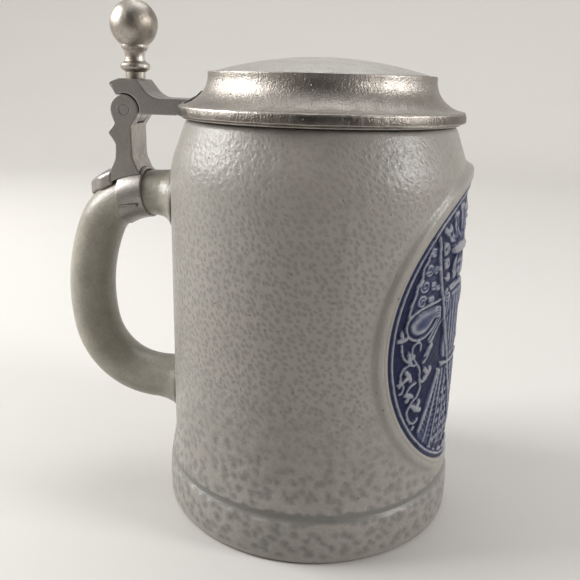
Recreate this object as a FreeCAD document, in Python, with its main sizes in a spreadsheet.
import FreeCAD, Part
import math
import os

os.makedirs("parts", exist_ok=True)

# Half-litre stoneware stein with a hinged pewter lid.
# Millimetres. The origin is on the table under the middle of the foot. +Z is up, the handle points to -X,
# the relief panel faces +X, and the lid turns about a pin that lies along Y.

V = FreeCAD.Vector
doc = FreeCAD.newDocument("BeerStein")

SIZES = [
    # pot
    ("wall_radius", 45.0),
    ("wall_thickness", 5.2),
    ("foot_radius", 47.1),
    ("foot_top", 12.8),
    ("foot_edge", 1.5),
    ("foot_ring_inner", 36.5),
    ("foot_recess", 3.0),
    ("floor_thickness", 6.0),
    ("wall_start", 21.5),
    ("shoulder_start", 103.5),
    ("shoulder_arc", 27.0),
    ("shoulder_turn", 20.5),
    ("lip_top", 121.8),
    # relief panel
    ("boss_radius", 46.1),
    ("boss_size", 48.0),
    ("panel_mid", 63.3),
    ("panel_bed_radius", 44.2),
    ("panel_radius", 45.2),
    ("panel_size", 43.8),
    ("bead_radius", 45.7),
    ("bead_width", 1.7),
    # handle
    ("handle_thick", 14.4),
    ("handle_wide", 17.8),
    ("root_x", 51.5),
    ("root_top", 97.8),
    # lid
    ("seat_bottom", 122.0),
    ("seat_radius", 41.3),
    ("seat_inner", 33.0),
    ("seat_flange", 2.2),
    ("rim_bottom", 122.7),
    ("rim_radius", 42.6),
    ("rim_top_radius", 42.1),
    ("rim_top", 125.5),
    ("flare_arc", 9.4),
    ("ledge_radius", 33.6),
    ("ledge_top", 135.2),
    ("ledge_inner", 32.2),
    ("lid_wall", 1.6),
    ("dome_top", 139.9),
    ("dome_bed", 133.6),
    # hinge
    ("pin_x", 60.0),
    ("pin_z", 123.35),
    ("pin_radius", 1.55),
    ("pin_clearance", 0.05),
    ("knuckle_radius", 4.5),
    ("knuckle_gap", 0.35),
    ("hinge_half_width", 6.3),
    ("middle_half_width", 2.5),
    ("side_gap", 0.15),
    ("plug_length", 1.2),
    # tang and thumblift
    ("tang_top", 132.4),
    ("arm_top", 127.0),
    ("stem_x", 58.3),
    ("ball_radius", 6.9),
    ("ball_z", 148.3),
    # strap
    ("strap_thick", 0.9),
    ("strap_half_width", 4.3),
    ("strap_mid_x", 59.9),
    ("tail_thick", 2.8),
    # solder
    ("solder_thick", 0.7),
    ("seam_width", 0.9),
    ("seam_z", 93.2),
]

sheet = doc.addObject("Spreadsheet::Sheet", "Sizes")
for row, (alias, value) in enumerate(SIZES, start=1):
    sheet.set("A%d" % row, alias)
    sheet.set("B%d" % row, str(value))
    sheet.setAlias("B%d" % row, alias)
doc.recompute()
size = dict(SIZES)
NODES = []
PANEL_STEPS = 24    # points round a panel's outline


def plane_of(body, role):
    """One of the body's own origin planes."""
    for feature in body.Origin.OriginFeatures:
        if feature.Role == role:
            return feature


def new_body(label, node=True):
    """A PartDesign body. A node is exported under its Label."""
    body = doc.addObject("PartDesign::Body", label)
    body.Label = label
    if node:
        NODES.append(body)
    return body


def boolean(kind, label, node, **links):
    """A Part::Cut, Part::Common or Part::MultiFuse of objects made before."""
    thing = doc.addObject(kind, label)
    thing.Label = label
    for name, value in links.items():
        setattr(thing, name, value)
    if node:
        NODES.append(thing)
    return thing


def edges_through(points, closed=True):
    """Edges through (u, v) or (u, v, corner radius); {"via": (u, v)} bows the edge between its neighbours."""
    corners = [p for p in points if not isinstance(p, dict)]
    bows = {}
    index = -1
    for p in points:
        if isinstance(p, dict):
            bows[index] = V(p["via"][0], p["via"][1], 0)
        else:
            index += 1
    count = len(corners)
    at = [V(p[0], p[1], 0) for p in corners]
    into = list(at)
    out = list(at)
    rounds = {}
    for i, p in enumerate(corners):
        if len(p) < 3:
            continue
        before = (at[i - 1] - at[i]).normalize()
        after = (at[(i + 1) % count] - at[i]).normalize()
        half = before.getAngle(after) / 2
        reach = p[2] / math.tan(half)
        into[i] = at[i] + before * reach
        out[i] = at[i] + after * reach
        middle = (before + after).normalize()
        rounds[i] = at[i] + middle * (p[2] / math.sin(half) - p[2])
    edges = []
    for i in range(count):
        if i in rounds:
            edges.append(Part.Arc(into[i], rounds[i], out[i]))
        if i == count - 1 and not closed:
            break
        start = out[i]
        end = into[(i + 1) % count]
        if i in bows:
            edges.append(Part.Arc(start, bows[i], end))
        elif start.distanceToPoint(end) > 1e-6:
            edges.append(Part.LineSegment(start, end))
    return edges


def sketch_on(body, role, name, edges, offset=0.0):
    """A sketch on one of the body's origin planes, moved along the plane's normal by offset."""
    sketch = body.newObject("Sketcher::SketchObject", name)
    sketch.AttachmentSupport = (plane_of(body, role), [""])
    sketch.MapMode = "FlatFace"
    sketch.AttachmentOffset = FreeCAD.Placement(V(0, 0, offset), FreeCAD.Rotation())
    for edge in edges:
        sketch.addGeometry(edge, False)
    return sketch


def turned(label, points, node=True, sweep=360.0):
    """A body turned about Z from a half profile of (radius, height) points."""
    body = new_body(label, node)
    sketch = sketch_on(body, "XZ_Plane", label + "_profile", edges_through(points))
    turn = body.newObject("PartDesign::Revolution", label + "_turn")
    turn.Profile = sketch
    turn.ReferenceAxis = (sketch, ["V_Axis"])
    turn.Angle = sweep
    turn.Midplane = True
    body.Tip = turn
    return body


def slab(label, points, half_width, node=False):
    """A side profile of (x, z) points padded both ways along Y by an expression."""
    body = new_body(label, node)
    sketch = sketch_on(body, "XZ_Plane", label + "_profile", edges_through(points))
    pad = body.newObject("PartDesign::Pad", label + "_pad")
    pad.Profile = sketch
    pad.SideType = "Symmetric"
    pad.setExpression("Length", "2 * (%s)" % half_width)
    body.Tip = pad
    return body


def bar(label, radius, half_length, node=False):
    """A round bar along Y, centred on the hinge axis."""
    rod = doc.addObject("Part::Cylinder", label)
    rod.Label = label
    rod.setExpression("Radius", radius)
    rod.setExpression("Height", "2 * (%s)" % half_length)
    turn = FreeCAD.Rotation(V(1, 0, 0), 90)
    rod.Placement = FreeCAD.Placement(V(0, 0, 0), turn)
    rod.setExpression("Placement.Base.x", "-Sizes.pin_x")
    rod.setExpression("Placement.Base.y", half_length)
    rod.setExpression("Placement.Base.z", "Sizes.pin_z")
    if node:
        NODES.append(rod)
    return rod


def panel_prism(label, reach):
    """A bar along +X whose outline, laid on the wall, is a circle of radius reach."""
    body = new_body(label, node=False)
    around = []
    for k in range(PANEL_STEPS):
        angle = 2 * math.pi * k / PANEL_STEPS
        across = size["boss_radius"] * math.sin(reach * math.cos(angle) / size["boss_radius"])
        around.append(V(across, size["panel_mid"] + reach * math.sin(angle), 0))
    outline = Part.BSplineCurve()
    outline.interpolate(Points=around, PeriodicFlag=True)
    sketch = sketch_on(body, "YZ_Plane", label + "_outline", [outline], offset=10.0)
    pad = body.newObject("PartDesign::Pad", label + "_pad")
    pad.Profile = sketch
    pad.Length = 50.0
    body.Tip = pad
    return body


def drum(label, radius):
    """A plain cylinder on the pot's axis, as tall as the straight wall."""
    thing = doc.addObject("Part::Cylinder", label)
    thing.Label = label
    thing.setExpression("Radius", radius)
    thing.setExpression("Height", "Sizes.lip_top - 8")
    thing.Placement = FreeCAD.Placement(V(0, 0, 4), FreeCAD.Rotation())
    return thing


# ---------------------------------------------------------------- pot

turn_angle = math.radians(size["shoulder_turn"])
shoulder_end_z = size["shoulder_start"] + size["shoulder_arc"] * math.sin(turn_angle)
shoulder_end_r = size["wall_radius"] - size["shoulder_arc"] * (1 - math.cos(turn_angle))
shoulder_mid_z = size["shoulder_start"] + size["shoulder_arc"] * math.sin(turn_angle / 2)
shoulder_mid_r = size["wall_radius"] - size["shoulder_arc"] * (1 - math.cos(turn_angle / 2))
lip_r = shoulder_end_r - (size["lip_top"] - shoulder_end_z) * math.tan(turn_angle)
floor_top = size["foot_recess"] + size["floor_thickness"]
bore = size["wall_radius"] - size["wall_thickness"]
lip_bore = lip_r - size["wall_thickness"]
neck_bore_z = size["shoulder_start"] + 1.0

outer_wall = [
    (size["foot_radius"] - 0.3, 0.0, size["foot_edge"]),
    {"via": (size["foot_radius"], 7.0)},
    (size["foot_radius"] - 0.6, size["foot_top"], 0.6),
    (size["wall_radius"] + 0.75, size["foot_top"] + 1.6, 0.8),
    (size["wall_radius"] + 0.75, size["foot_top"] + 3.6),
    (size["wall_radius"], size["wall_start"], 8.0),
    (size["wall_radius"], size["shoulder_start"]),
    {"via": (shoulder_mid_r, shoulder_mid_z)},
    (shoulder_end_r, shoulder_end_z),
    (lip_r, size["lip_top"], 2.2),
]
pot_form = turned("pot_form", [(0.0, 0.0)] + outer_wall + [(0.0, size["lip_top"])], node=False)
pot_hollow = turned("pot_hollow", [
    (0.0, floor_top),
    (bore, floor_top, 5.0),
    (bore, neck_bore_z, 30.0),
    (lip_bore, size["lip_top"] - 2.3),
    {"via": (lip_bore + 0.67, size["lip_top"] - 0.67)},
    (lip_bore + 2.3, size["lip_top"]),
    (lip_bore + 2.3, size["lip_top"] + 2.0),
    (0.0, size["lip_top"] + 2.0),
], node=False)
foot_hollow = turned("foot_hollow", [
    (0.0, -1.0),
    (size["foot_ring_inner"], -1.0),
    (size["foot_ring_inner"], 0.0),
    (size["foot_ring_inner"] - 1.6, size["foot_recess"], 1.0),
    (0.0, size["foot_recess"]),
], node=False)

boss_drum = drum("boss_drum", "Sizes.boss_radius")
boss_prism = panel_prism("boss_prism", size["boss_size"])
boss = boolean("Part::Common", "boss", False, Base=boss_drum, Tool=boss_prism)
panel_bar = panel_prism("panel_bar", size["panel_size"])
bed_drum = drum("bed_drum", "Sizes.panel_bed_radius")
panel_pocket = boolean("Part::Cut", "panel_pocket", False, Base=panel_bar, Tool=bed_drum)

pot_outer = boolean("Part::MultiFuse", "pot_outer", False, Shapes=[pot_form, boss])
hollows = boolean("Part::MultiFuse", "hollows", False, Shapes=[pot_hollow, foot_hollow, panel_pocket])
mug_body = boolean("Part::Cut", "mug_body", True, Base=pot_outer, Tool=hollows)

# The panel is a thin round tile, curved to the wall, with a raised bead round its edge.
panel_drum = drum("panel_drum", "Sizes.panel_radius")
bead_drum = drum("bead_drum", "Sizes.bead_radius")
tile = boolean("Part::Common", "tile", False, Base=panel_drum, Tool=panel_pocket)
field_bar = panel_prism("field_bar", size["panel_size"] - size["bead_width"])
bead_blank = boolean("Part::Common", "bead_blank", False, Base=bead_drum, Tool=panel_pocket)
bead = boolean("Part::Cut", "bead", False, Base=bead_blank, Tool=field_bar)
medallion = boolean("Part::MultiFuse", "medallion", True, Shapes=[tile, bead])

# ---------------------------------------------------------------- handle

# The handle's centre line is a chain of arcs that turn the same way, as (radius, degrees).
HANDLE_ARCS = [(26.3, 36.0), (15.0, 30.0), (58.7, 34.6), (22.6, 67.0), (28.1, 12.4)]


def on_arc(centre, radius, heading):
    """The point of an arc about centre where the line, turning left, has this heading."""
    return centre + V(math.sin(heading), -math.cos(heading), 0) * radius


def handle_path():
    """The centre line's arcs in the XZ plane, from the upper root, and its end point."""
    here = V(-size["root_x"], size["root_top"], 0)
    heading = math.pi
    arcs = []
    for radius, degrees in HANDLE_ARCS:
        turn = math.radians(degrees)
        centre = here + V(-math.sin(heading), math.cos(heading), 0) * radius
        end = on_arc(centre, radius, heading + turn)
        arcs.append(Part.Arc(here, on_arc(centre, radius, heading + turn / 2), end))
        here = end
        heading += turn
    return arcs, here


def oval_edge(thick, wide, middle_z):
    """The handle's oval section: wide along Y, thick along Z."""
    ring = Part.Ellipse(V(0, 0, 0), wide / 2, thick / 2)
    ring.Center = V(0, middle_z, 0)
    return ring


path_arcs, path_end = handle_path()
handle_form = new_body("handle_form", node=False)
spine = sketch_on(handle_form, "XZ_Plane", "handle_spine", path_arcs)
section = sketch_on(
    handle_form, "YZ_Plane", "handle_section",
    [oval_edge(size["handle_thick"], size["handle_wide"], size["root_top"])], offset=-size["root_x"])
tube = handle_form.newObject("PartDesign::AdditivePipe", "handle_tube")
tube.Profile = section
tube.Spine = spine
handle_form.Tip = tube

# Both ends flare where they are pressed onto the wall: (distance along X, growth of the section).
UPPER_FLARE = [(0.0, 0.0), (3.0, 0.9), (5.9, 3.4), (8.5, 7.6)]
LOWER_FLARE = [(0.0, 0.0), (3.4, 0.6), (6.2, 1.9), (9.0, 4.4)]


def flared_end(name, start_x, middle_z, flare, top_share):
    """A loft from the tube's end to the wall. top_share is the part of the growth that goes upwards."""
    rings = []
    for k, (step, growth) in enumerate(flare):
        shift = growth * (top_share - 0.5)
        ring = oval_edge(size["handle_thick"] + growth, size["handle_wide"] + growth, middle_z + shift)
        rings.append(sketch_on(handle_form, "YZ_Plane", "%s_%d" % (name, k), [ring], offset=start_x + step))
    loft = handle_form.newObject("PartDesign::AdditiveLoft", name + "_loft")
    loft.Profile = rings[0]
    loft.Sections = rings[1:]
    handle_form.Tip = loft


flared_end("upper_root", -size["root_x"], size["root_top"], UPPER_FLARE, 0.3)
flared_end("lower_root", path_end.x, path_end.y, LOWER_FLARE, 0.1)
handle = boolean("Part::Cut", "handle", True, Base=handle_form, Tool=pot_outer)

# ---------------------------------------------------------------- lid

flare_centre_z = size["rim_top"] + size["flare_arc"]
flare_mid = (
    size["ledge_radius"] + size["flare_arc"] * (1 - math.cos(math.pi / 4)) - 0.35,
    flare_centre_z - size["flare_arc"] * math.sin(math.pi / 4) - 0.35)
cap_outer = [
    (size["rim_radius"], size["rim_bottom"], 0.4),
    (size["rim_top_radius"], size["rim_top"], 0.3),
    (size["ledge_radius"] + size["flare_arc"] - 2.4, size["rim_top"] + 0.25),
    {"via": flare_mid},
    (size["ledge_radius"], size["ledge_top"] - 1.4),
    (size["ledge_radius"], size["ledge_top"], 0.4),
]
cap_form = turned(
    "cap_form", [(0.0, size["rim_bottom"])] + cap_outer + [(0.0, size["ledge_top"])], node=False)
cap_hollow = turned("cap_hollow", [
    (0.0, size["rim_bottom"] - 1.0),
    (size["ledge_radius"] + 2.6, size["rim_bottom"] - 1.0),
    (size["ledge_radius"] + 2.6, size["rim_top"] - 0.4, 3.0),
    (size["ledge_radius"] - size["lid_wall"], size["rim_top"] + 3.2, 3.0),
    (size["ledge_radius"] - size["lid_wall"], size["dome_bed"] - size["lid_wall"], 1.0),
    (0.0, size["dome_bed"] - size["lid_wall"]),
], node=False)
dome_seat = turned("dome_seat", [
    (0.0, size["dome_bed"]),
    (size["ledge_inner"], size["dome_bed"]),
    (size["ledge_inner"], size["ledge_top"] + 1.0),
    (0.0, size["ledge_top"] + 1.0),
], node=False)
cap_cuts = boolean("Part::MultiFuse", "cap_cuts", False, Shapes=[cap_hollow, dome_seat])
lid_cap = boolean("Part::Cut", "lid_cap", True, Base=cap_form, Tool=cap_cuts)

dome_rise = size["dome_top"] - size["ledge_top"]
dome_arc = (size["ledge_inner"] ** 2 + dome_rise ** 2) / (2 * dome_rise)
half_chord = size["ledge_inner"] / 2
dome_mid_z = size["dome_top"] - dome_arc + math.sqrt(dome_arc ** 2 - half_chord ** 2)
lid_dome = turned("lid_dome", [
    (0.0, size["dome_bed"]),
    (size["ledge_inner"], size["dome_bed"]),
    (size["ledge_inner"], size["ledge_top"]),
    {"via": (half_chord, dome_mid_z)},
    (0.0, size["dome_top"]),
])
lid_seat_ring = turned("lid_seat_ring", [
    (size["seat_inner"], size["seat_bottom"] - size["seat_flange"], 0.4),
    (size["seat_inner"] + 1.2, size["seat_bottom"] - size["seat_flange"], 0.4),
    (size["seat_inner"] + 1.2, size["seat_bottom"]),
    (size["seat_radius"], size["seat_bottom"], 0.25),
    (size["seat_radius"], size["rim_bottom"]),
    (size["seat_inner"], size["rim_bottom"]),
])

# ---------------------------------------------------------------- tang, on the lid

px = -size["pin_x"]
pz = size["pin_z"]
tang_profile = slab("tang_profile", [
    (-36.0, size["rim_bottom"], 0.5),
    (-36.0, size["arm_top"], 0.5),
    (px + 10.3, size["arm_top"] + 0.1, 4.0),
    (px + 7.6, size["arm_top"] + 1.4, 6.0),
    (px + 4.4, size["tang_top"], 0.8),
    (px - 1.6, size["tang_top"] + 0.2, 4.0),
    (px - 4.9, size["tang_top"] - 1.0, 0.5),
    (px - 2.5, pz + 4.2),
    (px, pz),
    (px + 4.8, size["rim_bottom"] - 0.6),
    (-size["rim_radius"] - 0.8, size["rim_bottom"] - 0.6, 0.4),
    (-size["rim_radius"] + 0.4, size["rim_bottom"]),
], "Sizes.hinge_half_width")
clear_bar = bar("clear_bar", "Sizes.knuckle_radius + Sizes.knuckle_gap", "Sizes.hinge_half_width + 1")
knuckle_bar = bar("knuckle_bar", "Sizes.knuckle_radius", "Sizes.middle_half_width")
pin_hole = bar("pin_hole", "Sizes.pin_radius + Sizes.pin_clearance", "Sizes.hinge_half_width + 1")
tang_web = slab("tang_web", [
    (px - 2.5, pz + 4.2),
    (px - 2.0, pz + 6.0),
    (px + 6.0, pz + 4.2),
    (px + 6.0, size["rim_bottom"]),
    (px, size["rim_bottom"]),
    (px, pz),
], "Sizes.middle_half_width")
tang_bow = boolean("Part::Cut", "tang_bow", False, Base=tang_profile, Tool=clear_bar)
tang_solid = boolean("Part::MultiFuse", "tang_solid", False, Shapes=[tang_bow, tang_web, knuckle_bar])
cap_and_pin = boolean("Part::MultiFuse", "cap_and_pin", False, Shapes=[cap_form, pin_hole])
lid_tang = boolean("Part::Cut", "lid_tang", True, Base=tang_solid, Tool=cap_and_pin)

# Solder along the foot of the arm: a thin skin on the flare over a narrow sector, cut round the arm.
fillet_top = size["rim_top"] + size["solder_thick"]
solder_skin = turned("solder_skin", [
    (size["rim_top_radius"] - 3.0, size["rim_top"] - 1.0),
    (size["rim_top_radius"] - 0.6, size["rim_top"] - 1.0),
    (size["rim_top_radius"] - 0.6, fillet_top - 0.3, 0.5),
    (size["rim_top_radius"] - 4.6, fillet_top + 1.9, 2.0),
    (size["ledge_radius"] + 2.2, size["rim_top"] + 4.2, 0.8),
    (size["ledge_radius"] - 1.0, size["rim_top"] + 4.0),
], node=False, sweep=22.0)
solder_skin.Placement = FreeCAD.Placement(V(0, 0, 0), FreeCAD.Rotation(V(0, 0, 1), 180))
cap_and_tang = boolean("Part::MultiFuse", "cap_and_tang", False, Shapes=[cap_form, tang_profile])
tang_solder = boolean("Part::Cut", "tang_solder", True, Base=solder_skin, Tool=cap_and_tang)

# ---------------------------------------------------------------- thumblift

stem_form = turned("stem_form", [
    (0.0, size["tang_top"] - 1.0),
    (2.7, size["tang_top"] - 1.0),
    (2.7, size["tang_top"] + 2.2),
    (4.25, size["tang_top"] + 3.2, 0.3),
    (4.25, size["tang_top"] + 4.2, 0.3),
    (3.0, size["tang_top"] + 5.0),
    {"via": (2.7, size["tang_top"] + 6.8)},
    (3.1, size["tang_top"] + 8.4),
    (3.75, size["tang_top"] + 9.2, 0.3),
    (3.75, size["tang_top"] + 10.6),
    (0.0, size["tang_top"] + 10.6),
], node=False)
stem_form.setExpression("Placement.Base.x", "-Sizes.stem_x")
thumblift_ball = doc.addObject("Part::Sphere", "thumblift_ball")
thumblift_ball.Label = "thumblift_ball"
thumblift_ball.setExpression("Radius", "Sizes.ball_radius")
thumblift_ball.setExpression("Placement.Base.x", "-Sizes.stem_x")
thumblift_ball.setExpression("Placement.Base.z", "Sizes.ball_z")
NODES.append(thumblift_ball)
ball_and_tang = boolean("Part::MultiFuse", "ball_and_tang", False, Shapes=[thumblift_ball, tang_profile])
thumblift_stem = boolean("Part::Cut", "thumblift_stem", True, Base=stem_form, Tool=ball_and_tang)

# ---------------------------------------------------------------- strap, post and pin, on the handle

def handle_shell(label, thick):
    """The upper part of the handle, grown all round by thick: the strap and tail are cut from it."""
    body = new_body(label, node=False)
    line = sketch_on(body, "XZ_Plane", label + "_spine", handle_path()[0][:2])
    ring = oval_edge(size["handle_thick"] + 2 * thick, size["handle_wide"] + 2 * thick, size["root_top"])
    around = sketch_on(body, "YZ_Plane", label + "_ring", [ring], offset=-size["root_x"])
    shell = body.newObject("PartDesign::AdditivePipe", label + "_tube")
    shell.Profile = around
    shell.Spine = line
    body.Tip = shell
    return body


strap_form = handle_shell("strap_form", size["strap_thick"])
tail_form = handle_shell("tail_form", size["tail_thick"])

mid_x = -size["strap_mid_x"]
half = size["strap_half_width"]
strap_slice = slab("strap_slice", [
    (mid_x - half, 108.0),
    (mid_x + half, 108.0),
    (mid_x + half + 3.2, 84.0),
    (mid_x - half + 3.4, 84.0),
], "Sizes.handle_wide")
strap_band = boolean("Part::Common", "strap_band", False, Base=strap_form, Tool=strap_slice)
handle_strap = boolean("Part::Cut", "handle_strap", True, Base=strap_band, Tool=handle_form)

# The post stands on the strap, with a spur and a waist behind and a knuckle each side of the tang's.
post_profile = slab("post_profile", [
    (px + 3.4, pz - 2.9),
    (px + 2.0, pz - 5.0, 1.0),
    (px + 2.0, pz - 14.5, 6.0),
    (px + 4.4, pz - 20.0),
    (px + 4.4, pz - 26.0),
    (px - 5.6, pz - 26.0),
    (px - 5.4, pz - 18.6, 1.0),
    (px - 3.6, pz - 15.0, 5.0),
    (px - 3.2, pz - 10.5, 3.0),
    (px - 5.6, pz - 7.0, 0.4),
    (px - 3.3, pz - 4.2, 0.3),
    (px - 4.3, pz - 1.6),
    (px, pz),
], "Sizes.hinge_half_width")
ear_bar = bar("ear_bar", "Sizes.knuckle_radius", "Sizes.hinge_half_width")
slot_bar = bar(
    "slot_bar", "Sizes.knuckle_radius + Sizes.knuckle_gap", "Sizes.middle_half_width + Sizes.side_gap")
post_solid = boolean("Part::MultiFuse", "post_solid", False, Shapes=[post_profile, ear_bar])
bore_bar = bar("bore_bar", "Sizes.pin_radius", "Sizes.hinge_half_width + 1")
post_cuts = boolean("Part::MultiFuse", "post_cuts", False, Shapes=[slot_bar, bore_bar, strap_form])
hinge_post = boolean("Part::Cut", "hinge_post", True, Base=post_solid, Tool=post_cuts)

# The tail is a leaf cut from the same shell, behind the strap.
tail_leaf = new_body("tail_leaf", node=False)
leaf = sketch_on(tail_leaf, "XY_Plane", "leaf_outline", edges_through([
    (mid_x - half + 2.0, -6.2, 1.0),
    (mid_x - half - 5.0, -5.4, 3.0),
    (mid_x - half - 11.0, 0.0, 1.5),
    (mid_x - half - 5.0, 5.4, 3.0),
    (mid_x - half + 2.0, 6.2, 1.0),
]), offset=90.0)
leaf_pad = tail_leaf.newObject("PartDesign::Pad", "leaf_pad")
leaf_pad.Profile = leaf
leaf_pad.Length = 20.0
tail_leaf.Tip = leaf_pad
tail_skin = boolean("Part::Common", "tail_skin", False, Base=tail_form, Tool=tail_leaf)
handle_and_slice = boolean(
    "Part::MultiFuse", "handle_and_slice", False, Shapes=[handle_form, strap_slice, post_profile])
strap_tail = boolean("Part::Cut", "strap_tail", True, Base=tail_skin, Tool=handle_and_slice)

hinge_pin = bar("hinge_pin", "Sizes.pin_radius", "Sizes.hinge_half_width - Sizes.plug_length", node=True)
for label, side in (("pin_plug_near", "-Sizes.hinge_half_width + Sizes.plug_length"),
                    ("pin_plug_far", "Sizes.hinge_half_width")):
    plug = bar(label, "Sizes.pin_radius", "Sizes.plug_length / 2", node=True)
    plug.setExpression("Placement.Base.y", side)

# The strap's ends lap low on the -Y side and are run together with solder.
seam_box = doc.addObject("Part::Box", "seam_box")
seam_box.Length = 2 * half - 2.0
seam_box.Width = 3.0
seam_box.setExpression("Height", "Sizes.seam_width")
seam_box.Placement = FreeCAD.Placement(
    V(mid_x - half + 2.2, -size["handle_wide"] / 2 - 1.1, size["seam_z"]), FreeCAD.Rotation(V(0, 1, 0), -8))
handle_and_strap = boolean("Part::MultiFuse", "handle_and_strap", False, Shapes=[handle_form, strap_form])
strap_seam_solder = boolean(
    "Part::Cut", "strap_seam_solder", True, Base=seam_box, Tool=handle_and_strap)

# ---------------------------------------------------------------- checks and export

doc.recompute()
problems = []
for thing in doc.Objects:
    if {"Invalid", "Error"} & set(thing.State):
        problems.append("%s: %s" % (thing.Name, thing.State))
for node in NODES:
    shape = node.Shape
    if shape.isNull() or not shape.isValid() or shape.Volume < 0.01:
        problems.append("%s: shape is null, invalid or empty" % node.Label)
if problems:
    raise RuntimeError("\n".join(problems))

for node in NODES:
    shape = node.Shape
    shape.exportStep("parts/%s.step" % node.Label)
    box = shape.BoundBox
    print("%-18s %d solid %9.1f mm3  x %.1f..%.1f  y %.1f..%.1f  z %.1f..%.1f" % (
        node.Label, len(shape.Solids), shape.Volume,
        box.XMin, box.XMax, box.YMin, box.YMax, box.ZMin, box.ZMax))
